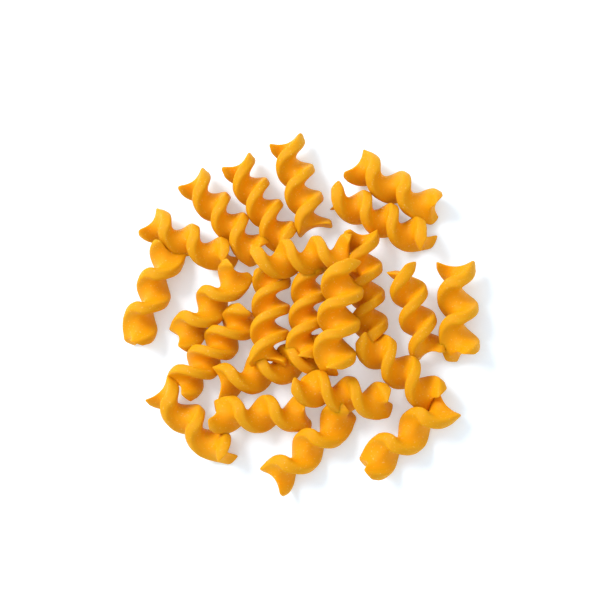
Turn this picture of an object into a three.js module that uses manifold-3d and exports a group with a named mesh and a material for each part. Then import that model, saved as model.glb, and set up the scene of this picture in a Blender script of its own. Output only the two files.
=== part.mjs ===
// A loose heap of dry pasta twists, in millimetres, +Z up, resting on z = 0.
// Every twist is a two-vane screw. They touch and cross as they fell, and are joined into one solid.
import * as THREE from 'three';
import { mergeVertices } from 'three/addons/utils/BufferGeometryUtils.js';
import Module from 'manifold-3d';

// Form that all the twists share
const vaneThickness = 3.4;
const tipSquareness = 0.65; // 1 for a round tip, less for a flatter one
const earLength = 2.2; // how far the two ears stand past the hollow middle of an end
const earSharpness = 7; // power that keeps the hollow close to the end
const tightSpacing = 8.8; // a twist wound this tightly has no slant
const slantShare = 0.5; // slant gained for each millimetre of crest spacing past that
const slantWidth = 2.5; // half width over which the slant grows
const slantFade = 8; // power that leaves the cut ends square
const tipSteps = 3; // facets round a vane's tip
const stationsPerHalfTurn = 5; // cuts along the axis in each half turn

// Middle of the heap's outline, which becomes the origin
const heapMiddle = new THREE.Vector3(-0.73, 0.03, 0);
const floorCut = { side: 300, depth: 20 };

// Each twist: middle x, y, z; heading and tilt of its axis in degrees; length; radius;
// spacing of its crests; distance along the axis from the middle to a crest that points up
const twists = [
  // far right pair and the two that stand apart on the right
  [35.4, 42.2, 6.1, -34, 0, 32, 6.6, 13, 4.8],
  [30.4, 31, 6.1, -31, 0, 36, 6.6, 10.8, 5.6],
  [56.6, -3.6, 6.8, -89, 0, 30, 7, 12.8, 4.6],
  [42.2, -3.8, 8.6, -75, -12, 29, 6.4, 10, -1.6],
  // fan on the far left
  [1.2, 45.7, 6.4, -73, 0, 33, 6.7, 11, 0.3],
  [-13, 39.8, 6.3, -60, 0, 35, 6.6, 9.9, -2],
  [-26.8, 36.2, 6.2, -50, 0, 36.5, 6.5, 10.9, -1.2],
  [-40.1, 28, 6.2, -28, 0, 32.5, 6.5, 12.2, 3.6],
  // left edge
  [-53.6, 8.8, 6.9, -111, 0, 34, 6.8, 13, 6.3],
  [-31.4, 3.2, 8.3, 44, 9, 31, 6.8, 12, 5],
  [-30.3, -12.8, 6.3, 46, 0, 34, 6.9, 9.2, -1.7],
  [-37.6, -38.6, 6.3, -45, 0, 33.5, 6.6, 13.2, 3],
  // near edge
  [-12.6, -36.5, 8, 0, -5, 31, 6.6, 12.2, 6],
  [-9.6, -20.5, 6.6, 14, 0, 36, 6.9, 11.2, -0.7],
  [4.8, -48.3, 6.4, 41, 0, 33, 6.6, 13, 3.4],
  [38.4, -45.8, 6.5, 37, 0, 33, 6.7, 13.6, 8.2],
  // middle, lying on those below
  [36.6, -23.7, 8.8, -42, -8, 30, 6.7, 10.6, 6.2],
  [17.2, -31.6, 11, -13, -4, 30, 6.6, 10.4, 5.5],
  [4.5, -3, 9, -93, 8, 31, 6.8, 9.8, -3],
  [-9, -3, 9, -90, 8, 31, 6.9, 9.6, 1.5],
  [4.2, 17, 13, 1, 2, 32.5, 7, 10.9, -2.6],
  [25.2, 5.2, 8, -86, -6, 38.5, 6.4, 9.7, -2.6],
  // top of the heap
  [17.4, -6, 17, -97, 0, 35, 7.5, 11, -3.5],
];

const wasm = await Module();
wasm.setup();

// Flat section of a screw whose vanes are as thick square to their own faces as vaneThickness
function vaneSection(radius, spacing) {
  const turn = Math.PI / spacing;
  const half = vaneThickness / 2;
  const tipCentre = radius - half;
  const faces = [];
  const addPoint = (out, offset, rise) => {
    const angle = Math.atan2(offset, out) - turn * rise;
    faces.push([Math.hypot(out, offset), angle]);
  };
  const addFace = (out, side) => {
    const steep = Math.hypot(1, out * turn);
    addPoint(out, (-side * half) / steep, (side * half * out * turn) / steep);
  };
  addFace(tipCentre / 2, 1);
  const steepTip = Math.hypot(1, tipCentre * turn);
  for (let step = 0; step <= tipSteps; step++) {
    const around = (Math.PI * step) / tipSteps;
    const out = tipCentre + half * Math.sin(around) ** tipSquareness;
    const side = Math.sign(Math.cos(around)) * Math.abs(Math.cos(around)) ** tipSquareness;
    const offset = (-side * half) / steepTip;
    addPoint(out, offset, -offset * tipCentre * turn);
  }
  addFace(tipCentre / 2, -1);
  const points = [0, Math.PI].flatMap((opposite) =>
    faces.map(([out, angle]) =>
      new THREE.Vector2(out * Math.cos(angle + opposite), out * Math.sin(angle + opposite))));
  return new THREE.Shape(points);
}

// Straight bar of the section, wound round its axis, with eared ends, then laid in its place
function twistGeometry([x, y, z, heading, tilt, length, radius, spacing, crest]) {
  const geometry = new THREE.ExtrudeGeometry(vaneSection(radius, spacing), {
    depth: length,
    steps: Math.round((stationsPerHalfTurn * length) / spacing),
    bevelEnabled: false,
  });
  geometry.translate(0, 0, -length / 2);
  const turn = Math.PI / spacing;
  const slant = slantShare * (spacing - tightSpacing);
  const drawn = (aside) => (slant * aside) / Math.hypot(aside, slantWidth);
  const bar = geometry.attributes.position;
  for (let index = 0; index < bar.count; index++) {
    const along = bar.getZ(index);
    const end = (2 * along) / length;
    const out = Math.hypot(bar.getX(index), bar.getY(index));
    const angle = Math.atan2(bar.getY(index), bar.getX(index)) + turn * (along - crest);
    const up = out * Math.cos(angle);
    const aside = out * Math.sin(angle);
    const asideAtEnd = out * Math.sin(angle + turn * (Math.sign(end) * length / 2 - along));
    const ear = earLength * (out / radius) ** 2 * end ** earSharpness;
    const squared = Math.abs(end) ** slantFade * drawn(asideAtEnd);
    bar.setXYZ(index, up, aside, along + ear - drawn(aside) + squared);
  }
  const yaw = THREE.MathUtils.degToRad(heading);
  const pitch = THREE.MathUtils.degToRad(tilt);
  const axis = new THREE.Vector3(
    Math.cos(yaw) * Math.cos(pitch), Math.sin(yaw) * Math.cos(pitch), Math.sin(pitch));
  const level = new THREE.Vector3(-Math.sin(yaw), Math.cos(yaw), 0);
  const rise = axis.clone().cross(level);
  const across = axis.clone().cross(rise);
  geometry.applyMatrix4(new THREE.Matrix4().makeBasis(rise, across, axis).setPosition(x, y, z));
  return geometry;
}

function solidOf(geometry) {
  geometry.deleteAttribute('normal');
  geometry.deleteAttribute('uv');
  const merged = mergeVertices(geometry);
  return new wasm.Manifold(new wasm.Mesh({
    numProp: 3,
    vertProperties: new Float32Array(merged.attributes.position.array),
    triVerts: new Uint32Array(merged.index.array),
  }));
}

function geometryOf(solid) {
  const mesh = solid.getMesh();
  const geometry = new THREE.BufferGeometry();
  geometry.setAttribute('position', new THREE.BufferAttribute(mesh.vertProperties, mesh.numProp));
  geometry.setIndex(new THREE.BufferAttribute(mesh.triVerts, 1));
  return geometry;
}

// The surface that the heap lies on trims the lowest crests to small flat spots
const floorBox = new THREE.BoxGeometry(floorCut.side, floorCut.side, floorCut.depth);
floorBox.translate(0, 0, -floorCut.depth / 2);
const heapSolid = twists
  .map((row) => solidOf(twistGeometry(row)))
  .reduce((joined, next) => joined.add(next))
  .subtract(solidOf(floorBox));
const heapGeometry = geometryOf(heapSolid);
heapGeometry.translate(-heapMiddle.x, -heapMiddle.y, -heapMiddle.z);
heapGeometry.computeVertexNormals();

// Dry egg-yellow durum dough: satin, not metallic
const dryPasta = new THREE.MeshStandardMaterial({ color: 0xe49b1f, roughness: 0.5, metalness: 0 });

const heap = new THREE.Mesh(heapGeometry, dryPasta);
heap.name = 'pasta_heap';

const group = new THREE.Group();
group.add(heap);

export default group;
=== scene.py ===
# Loose heap of dry pasta twists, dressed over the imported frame. Metres, +Z up.
import math
import random

import bmesh
import bpy
from mathutils import Matrix, Vector, noise


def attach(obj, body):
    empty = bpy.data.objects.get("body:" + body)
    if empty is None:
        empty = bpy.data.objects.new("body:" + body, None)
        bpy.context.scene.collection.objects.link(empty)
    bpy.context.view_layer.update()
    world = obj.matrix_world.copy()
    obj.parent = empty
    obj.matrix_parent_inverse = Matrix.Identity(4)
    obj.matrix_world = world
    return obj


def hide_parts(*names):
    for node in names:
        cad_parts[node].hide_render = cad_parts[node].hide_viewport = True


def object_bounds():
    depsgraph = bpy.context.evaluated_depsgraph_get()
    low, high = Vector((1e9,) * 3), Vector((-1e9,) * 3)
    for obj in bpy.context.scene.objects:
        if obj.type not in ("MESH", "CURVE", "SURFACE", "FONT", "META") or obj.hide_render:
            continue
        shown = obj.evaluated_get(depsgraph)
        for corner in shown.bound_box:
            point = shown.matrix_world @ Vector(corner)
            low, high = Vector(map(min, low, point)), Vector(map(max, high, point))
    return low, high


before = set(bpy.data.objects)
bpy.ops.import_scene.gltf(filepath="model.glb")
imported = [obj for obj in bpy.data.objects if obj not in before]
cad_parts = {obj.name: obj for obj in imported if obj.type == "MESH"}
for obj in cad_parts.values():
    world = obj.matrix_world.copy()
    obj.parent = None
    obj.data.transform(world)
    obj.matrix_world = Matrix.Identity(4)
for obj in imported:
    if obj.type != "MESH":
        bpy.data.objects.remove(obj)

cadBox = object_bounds()
mm = 0.001
heapMiddle = Vector((-0.73, 0.03, 0)) * mm  # middle of the heap's outline in the layout


def linearColour(hexText):
    parts = [int(hexText[i:i + 2], 16) / 255 for i in (0, 2, 4)]
    return [c / 12.92 if c <= 0.04045 else ((c + 0.055) / 1.055) ** 2.4 for c in parts] + [1.0]


def addNode(tree, kind, settings=None, values=None, links=None):
    node = tree.nodes.new(kind)
    for name, value in (settings or {}).items():
        setattr(node, name, value)
    for name, value in (values or {}).items():
        node.inputs[name].default_value = value
    for name, source in (links or {}).items():
        tree.links.new(source, node.inputs[name])
    return node


# Camera, straight above the heap but leaning to its near right side
cameraView = {
    "lean": 20,          # degrees from straight down
    "side": -45,         # the way it leans, degrees from +X
    "distance": 560 * mm,
    "fieldWidth": 210 * mm,
    "aim": Vector((0, 0, 5)) * mm,
    "aimPixel": (298, 311),
    "frameSide": 600,
    "sensor": 36,
    "clipStart": 10 * mm,
}


def makeCamera(view):
    lean, side = math.radians(view["lean"]), math.radians(view["side"])
    back = Vector((math.sin(lean) * math.cos(side), math.sin(lean) * math.sin(side), math.cos(lean)))
    up = (Vector((0, 1, 0)) - back * back.y).normalized()
    turn = Matrix((up.cross(back), up, back)).transposed()
    data = bpy.data.cameras.new("viewpoint")
    data.sensor_width = view["sensor"]
    data.lens = view["sensor"] * view["distance"] / view["fieldWidth"]
    half = view["frameSide"] / 2
    data.shift_x = (half - view["aimPixel"][0]) / view["frameSide"]
    data.shift_y = (view["aimPixel"][1] - half) / view["frameSide"]
    data.clip_start = view["clipStart"]
    camera = bpy.data.objects.new("viewpoint", data)
    place = view["aim"] - heapMiddle + back * view["distance"]
    camera.matrix_world = Matrix.Translation(place) @ turn.to_4x4()
    bpy.context.collection.objects.link(camera)
    bpy.context.scene.camera = camera


makeCamera(cameraView)
print("camera set")

# The twists. Sizes in millimetres, as in the layout below
twistForm = {
    "vaneThickness": 3.4,
    "earLength": 2.2,        # ears stand this far past the hollow middle of an end
    "earSharpness": 7,       # power that keeps the hollow close to the end
    "tightSpacing": 8.8,     # a twist wound this tightly has no slant
    "slantShare": 0.5,       # slant for each millimetre of spacing past that
    "slantWidth": 2.5,       # half width over which the slant grows
    "slantFade": 8,          # power that leaves the cut ends square
    "tipSquareness": 0.65,   # 1 for a round tip, less for a flatter one
    "acrossSegments": 22,    # along the vane pair, tip to tip
    "throughSegments": 6,    # through the vane
    "tipSegments": 3,        # of the across ones, in each tip
    "station": 0.6,          # step along the axis
    "endStations": 2.5,      # stations that the rounding of the cut ends takes in
    "endRounds": 5,
    "endEasing": 0.5,        # how far one round draws a point to its neighbours
    "weldGap": 0.001,
    "wobble": 0.16,          # how far the surface wanders
    "wobbleSpan": 7.0,
    "bend": 0.35,            # most that a twist bows
    "leastBend": 0.4,        # share of that which every twist has
    "bendLevel": 0.4,        # lifts the bow so that its middle stays in place
    "flowSpan": 500,         # keeps the die lines of one twist unlike the next one's
    "seed": 11,
}

# Middle x, y, z; heading and tilt in degrees; length; radius; crest spacing; an upward crest's place
twistLayout = {
    "farRightOuter": (35.4, 42.2, 6.1, -34, 0, 32, 6.6, 13, 4.8),
    "farRightInner": (30.4, 31, 6.1, -31, 0, 36, 6.6, 10.8, 5.6),
    "rightOuter": (56.6, -3.6, 6.8, -89, 0, 30, 7, 12.8, 4.6),
    "rightInner": (42.2, -3.8, 8.6, -75, -12, 29, 6.4, 10, -1.6),
    "fanFirst": (1.2, 45.7, 6.4, -73, 0, 33, 6.7, 11, 0.3),
    "fanSecond": (-13, 39.8, 6.3, -60, 0, 35, 6.6, 9.9, -2),
    "fanThird": (-26.8, 36.2, 6.2, -50, 0, 36.5, 6.5, 10.9, -1.2),
    "fanFourth": (-40.1, 28, 6.2, -28, 0, 32.5, 6.5, 12.2, 3.6),
    "leftOuter": (-53.6, 8.8, 6.9, -111, 0, 34, 6.8, 13, 6.3),
    "leftMiddle": (-31.4, 3.2, 8.3, 44, 9, 31, 6.8, 12, 5),
    "leftInner": (-30.3, -12.8, 6.3, 46, 0, 34, 6.9, 9.2, -1.7),
    "leftNear": (-37.6, -38.6, 6.3, -45, 0, 33.5, 6.6, 13.2, 3),
    "nearLevel": (-12.6, -36.5, 8, 0, -5, 31, 6.6, 12.2, 6),
    "nearUnder": (-9.6, -20.5, 6.6, 14, 0, 36, 6.9, 11.2, -0.7),
    "nearSlanted": (4.8, -48.3, 6.4, 41, 0, 33, 6.6, 13, 3.4),
    "nearRight": (38.4, -45.8, 6.5, 37, 0, 33, 6.7, 13.6, 8.2),
    "overRight": (36.6, -23.7, 8.8, -42, -8, 30, 6.7, 10.6, 6.2),
    "overNear": (17.2, -31.6, 11, -13, -4, 30, 6.6, 10.4, 5.5),
    "middleRight": (4.5, -3, 9, -93, 8, 31, 6.8, 9.8, -3),
    "middleLeft": (-9, -3, 9, -90, 8, 31, 6.9, 9.6, 1.5),
    "overFar": (4.2, 17, 13, 1, 2, 32.5, 7, 10.9, -2.6),
    "underTop": (25.2, 5.2, 8, -86, -6, 38.5, 6.4, 9.7, -2.6),
    "top": (17.4, -6, 17, -97, 0, 35, 7.5, 11, -3.5),
}


def vanePoint(along, through, radius, spacing):
    # along runs tip to tip and through face to face, both from -1 to 1
    form = twistForm
    half = form["vaneThickness"] / 2
    tipCentre = radius - half
    flatShare = 1 - 2 * form["tipSegments"] / form["acrossSegments"]
    if abs(along) <= flatShare:
        out, offset = tipCentre * abs(along) / flatShare, half * through
    else:
        tip = (abs(along) - flatShare) / (1 - flatShare)
        power = form["tipSquareness"]
        out = tipCentre + half * (tip * math.sqrt(1 - through * through / 2)) ** power
        aside = (abs(through) * math.sqrt(1 - tip * tip / 2)) ** power
        offset = math.copysign(half * aside, through)
    turn = math.pi / spacing
    steep = math.hypot(1, min(out, tipCentre) * turn)
    if along < 0:
        offset = -offset
    flat = offset / steep
    rise = -offset * min(out, tipCentre) * turn / steep
    angle = math.atan2(flat, out) - turn * rise + (math.pi if along < 0 else 0)
    return Vector((math.cos(angle), math.sin(angle), 0)) * math.hypot(out, flat)


def makeTwist(row, draw):
    # one flat section, swept round its axis, then its ends, slant, bend and place
    form = twistForm
    x, y, z, heading, tilt, length, radius, spacing, crest = row
    slant = form["slantShare"] * (spacing - form["tightSpacing"])
    steps = round(length / form["station"])
    turn = math.pi / spacing
    bm = bmesh.new()
    bmesh.ops.create_grid(bm, x_segments=form["acrossSegments"], y_segments=form["throughSegments"], size=1)
    for vert in bm.verts:
        vert.co = vanePoint(vert.co.x, vert.co.y, radius, spacing)
    bmesh.ops.spin(bm, geom=bm.verts[:] + bm.edges[:] + bm.faces[:], cent=(0, 0, 0), axis=(0, 0, 1),
                   dvec=(0, 0, length / steps), angle=turn * length, steps=steps, use_duplicate=False)
    bmesh.ops.remove_doubles(bm, verts=bm.verts[:], dist=form["weldGap"])
    bmesh.ops.recalc_face_normals(bm, faces=bm.faces[:])
    bmesh.ops.rotate(bm, verts=bm.verts[:], cent=(0, 0, 0),
                     matrix=Matrix.Rotation(turn * (-length / 2 - crest), 3, "Z"))
    rim = bm.verts.layers.float.new("rim")
    tint = bm.verts.layers.float.new("tint")
    flow = bm.verts.layers.float_vector.new("flow")
    nearEnd = form["station"] * form["endStations"]
    ends = [v for v in bm.verts if v.co.z < nearEnd or v.co.z > length - nearEnd]
    shade, start = draw.random(), draw.uniform(0, form["flowSpan"])
    bendWay, bendSize = draw.uniform(0, 2 * math.pi), form["bend"] * draw.uniform(form["leastBend"], 1)
    for vert in bm.verts:
        along = vert.co.z - length / 2
        out = math.hypot(vert.co.x, vert.co.y)
        end = 2 * along / length
        # rim: share of the radius, which sets the painted groove shade in the dough's colour
        vert[rim] = min(out / radius, 1)
        vert[tint] = shade
        angle = math.atan2(vert.co.y, vert.co.x)
        around = angle - turn * along
        vert[flow] = Vector((out * math.cos(around), out * math.sin(around), along + start))
        ear = form["earLength"] * (out / radius) ** 2 * end ** form["earSharpness"]
        atEnd = out * math.sin(angle + turn * (math.copysign(length / 2, end) - along))
        fade = abs(end) ** form["slantFade"]
        drawn = slant * (vert.co.y / math.hypot(vert.co.y, form["slantWidth"])
                         - fade * atEnd / math.hypot(atEnd, form["slantWidth"]))
        bow = bendSize * (end * end - form["bendLevel"])
        vert.co = Vector((vert.co.x + bow * math.cos(bendWay), vert.co.y + bow * math.sin(bendWay),
                          along + ear - drawn))
        wander = noise.noise_vector((vert.co + Vector((0, 0, start))) / form["wobbleSpan"])
        vert.co += wander * form["wobble"]
    for _ in range(form["endRounds"]):
        bmesh.ops.smooth_vert(bm, verts=ends, factor=form["endEasing"],
                              use_axis_x=True, use_axis_y=True, use_axis_z=True)
    yaw, pitch = math.radians(heading), math.radians(tilt)
    axis = Vector((math.cos(yaw) * math.cos(pitch), math.sin(yaw) * math.cos(pitch), math.sin(pitch)))
    rise = axis.cross(Vector((-math.sin(yaw), math.cos(yaw), 0)))
    basis = Matrix((rise, axis.cross(rise), axis)).transposed().to_4x4()
    bm.transform(Matrix.Translation(Vector((x, y, z))) @ basis)
    bm.transform(Matrix.Scale(mm, 4))
    bmesh.ops.translate(bm, verts=bm.verts[:], vec=-heapMiddle)
    for vert in bm.verts:  # lowest crests sit flat, and nothing leaves the solid's box
        vert.co = Vector([min(max(c, low), high) for c, low, high in zip(vert.co, *cadBox)])
    mesh = bpy.data.meshes.new("twist")
    bm.to_mesh(mesh)
    bm.free()
    return mesh


def makeHeap():
    draw = random.Random(twistForm["seed"])
    noise.seed_set(twistForm["seed"])
    bm = bmesh.new()
    for row in twistLayout.values():
        mesh = makeTwist(row, draw)
        bm.from_mesh(mesh)
        bpy.data.meshes.remove(mesh)
    for face in bm.faces:
        face.smooth = True
    mesh = bpy.data.meshes.new("pastaTwists")
    bm.to_mesh(mesh)
    bm.free()
    heap = bpy.data.objects.new("pastaTwists", mesh)
    bpy.context.collection.objects.link(heap)
    return heap


heap = makeHeap()
print("twists made:", len(heap.data.polygons), "faces")

# Dry durum dough: amber and slightly see-through, with painted groove shade: a deeper orange near the axis
# in the grooves, a touch less orange along the thin edges
doughLook = {
    # the first colour is painted groove shade near the axis; the edge colour is the paler crest end of that
    # painted shade
    "grooveShade": "E99C04",
    "body": "E09B06",
    "edge": "DA9A0C",
    "speck": "EFC56C",
    "roughness": 0.55,
    "grit": 0.35,       # mm, bran and semolina grains
    "specks": 0.7,      # mm, pale flour specks
    "mottle": 5.0,      # mm, drying patches
    "lines": 0.9,       # mm, die lines along the vanes
    "lineStretch": 0.06,
    "bumpStrength": 0.35,
    "bumpDepth": 0.08,  # mm
    "glow": 0.45,       # share of light that passes under the surface
    "glowDepth": 2.0,   # mm
    "glowSpread": (1.0, 0.7, 0.3),
    "refraction": 1.48,
    "shine": 0.14,
    "grooveShadeReach": 0.45,  # share of the radius past which the painted groove shade begins to fade toward the crest colour
    "edgeShare": 0.9,
    "noiseRange": (0.3, 0.7),
    "patchShift": 0.16,
    "twistShift": 0.1,  # from one twist to the next
    "speckRange": (0.66, 0.74),
    "speckShare": 0.5,
    "lineShare": 0.5,   # of the die lines in the relief, beside the grit
}


def makeDough(look):
    material = bpy.data.materials.new("drySemolinaDough")
    material.use_nodes = True
    tree = material.node_tree
    shader = tree.nodes["Principled BSDF"]
    place = addNode(tree, "ShaderNodeTexCoord").outputs["Object"]
    rim = addNode(tree, "ShaderNodeAttribute", {"attribute_name": "rim"}).outputs["Fac"]
    tint = addNode(tree, "ShaderNodeAttribute", {"attribute_name": "tint"}).outputs["Fac"]
    flow = addNode(tree, "ShaderNodeAttribute", {"attribute_name": "flow"}).outputs["Vector"]

    def grain(size, detail, vector):
        return addNode(tree, "ShaderNodeTexNoise", values={"Scale": 1 / size, "Detail": detail},
                       links={"Vector": vector}).outputs["Fac"]

    def spread(value, low, high, source=(0.0, 1.0)):
        return addNode(tree, "ShaderNodeMapRange",
                       values={"From Min": source[0], "From Max": source[1], "To Min": low, "To Max": high},
                       links={"Value": value}).outputs["Result"]

    def added(first, second):
        return addNode(tree, "ShaderNodeMath", {"operation": "ADD"}, links={0: first, 1: second}).outputs[0]

    drawn = addNode(tree, "ShaderNodeMapping", values={"Scale": (1, 1, look["lineStretch"])},
                    links={"Vector": flow}).outputs["Vector"]
    lines = grain(look["lines"], 2.0, drawn)
    grit = grain(look["grit"] * mm, 4.0, place)
    mottle = grain(look["mottle"] * mm, 3.0, place)
    patch, own = look["patchShift"], look["twistShift"]
    # painted groove shade: the colour moves from the groove tone near the axis toward the paler crest tone,
    # with real mottle, per-twist tone and die lines added on top
    edge = spread(rim, 0.0, look["edgeShare"], (look["grooveShadeReach"], 1.0))
    toneAndGrooveShade = added(edge, spread(mottle, -patch, patch, look["noiseRange"]))
    toneAndGrooveShade = added(toneAndGrooveShade, spread(tint, -own, own))
    toneAndGrooveShade = added(toneAndGrooveShade, spread(lines, -patch, patch, look["noiseRange"]))
    ramp = addNode(tree, "ShaderNodeValToRGB", links={"Fac": toneAndGrooveShade})
    ramp.color_ramp.elements[0].color = linearColour(look["grooveShade"])
    ramp.color_ramp.elements[1].color = linearColour(look["edge"])
    ramp.color_ramp.elements.new(0.5).color = linearColour(look["body"])
    speck = spread(grain(look["specks"] * mm, 1.0, place), 0.0, look["speckShare"], look["speckRange"])
    coat = addNode(tree, "ShaderNodeMixRGB", values={"Color2": linearColour(look["speck"])},
                   links={"Fac": speck, "Color1": ramp.outputs["Color"]})
    tree.links.new(coat.outputs["Color"], shader.inputs["Base Color"])
    bump = addNode(tree, "ShaderNodeBump",
                   values={"Strength": look["bumpStrength"], "Distance": look["bumpDepth"] * mm},
                   links={"Height": added(spread(lines, 0.0, look["lineShare"]), grit)})
    tree.links.new(bump.outputs["Normal"], shader.inputs["Normal"])
    shader.inputs["Roughness"].default_value = look["roughness"]
    shader.inputs["IOR"].default_value = look["refraction"]
    shader.inputs["Specular IOR Level"].default_value = look["shine"]
    shader.inputs["Subsurface Weight"].default_value = look["glow"]
    shader.inputs["Subsurface Radius"].default_value = look["glowSpread"]
    shader.inputs["Subsurface Scale"].default_value = look["glowDepth"] * mm
    return material


heap.data.materials.append(makeDough(doughLook))
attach(heap, "root")
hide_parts("pasta_heap")
print("dough applied")

# Studio: pale floor, one broad soft light from the far left, and white surroundings
studio = {
    "floorSide": 6.0,
    "floorColour": "E3F0FB",
    "floorGlow": 0.3,       # as a light table under the paper
    "floorRoughness": 0.9,
    "keyFrom": Vector((-0.62, 0.50, 0.95)),
    "keySide": 0.7,
    "keyPower": 12.0,
    "surround": 0.86,
}


def makeStudio(look):
    bm = bmesh.new()
    bmesh.ops.create_grid(bm, x_segments=1, y_segments=1, size=look["floorSide"] / 2)
    mesh = bpy.data.meshes.new("floor")
    bm.to_mesh(mesh)
    bm.free()
    floor = bpy.data.objects.new("floor", mesh)
    bpy.context.collection.objects.link(floor)
    paper = bpy.data.materials.new("mattWhitePaper")  # a plain sweep of studio paper
    paper.use_nodes = True
    shader = paper.node_tree.nodes["Principled BSDF"]
    shader.inputs["Base Color"].default_value = linearColour(look["floorColour"])
    shader.inputs["Roughness"].default_value = look["floorRoughness"]
    shader.inputs["Emission Color"].default_value = linearColour(look["floorColour"])
    shader.inputs["Emission Strength"].default_value = look["floorGlow"]
    mesh.materials.append(paper)
    key = bpy.data.lights.new("key", "AREA")
    key.shape = "DISK"
    key.size = look["keySide"]
    key.energy = look["keyPower"]
    lamp = bpy.data.objects.new("key", key)
    lamp.location = look["keyFrom"]
    lamp.rotation_euler = look["keyFrom"].to_track_quat("Z", "Y").to_euler()
    bpy.context.collection.objects.link(lamp)
    world = bpy.data.worlds.new("surround")
    world.use_nodes = True
    backdrop = world.node_tree.nodes["Background"]
    backdrop.inputs["Color"].default_value = linearColour("FFFFFF")
    backdrop.inputs["Strength"].default_value = look["surround"]
    bpy.context.scene.world = world
    bpy.context.scene.view_settings.view_transform = "Standard"


makeStudio(studio)
print("studio set")
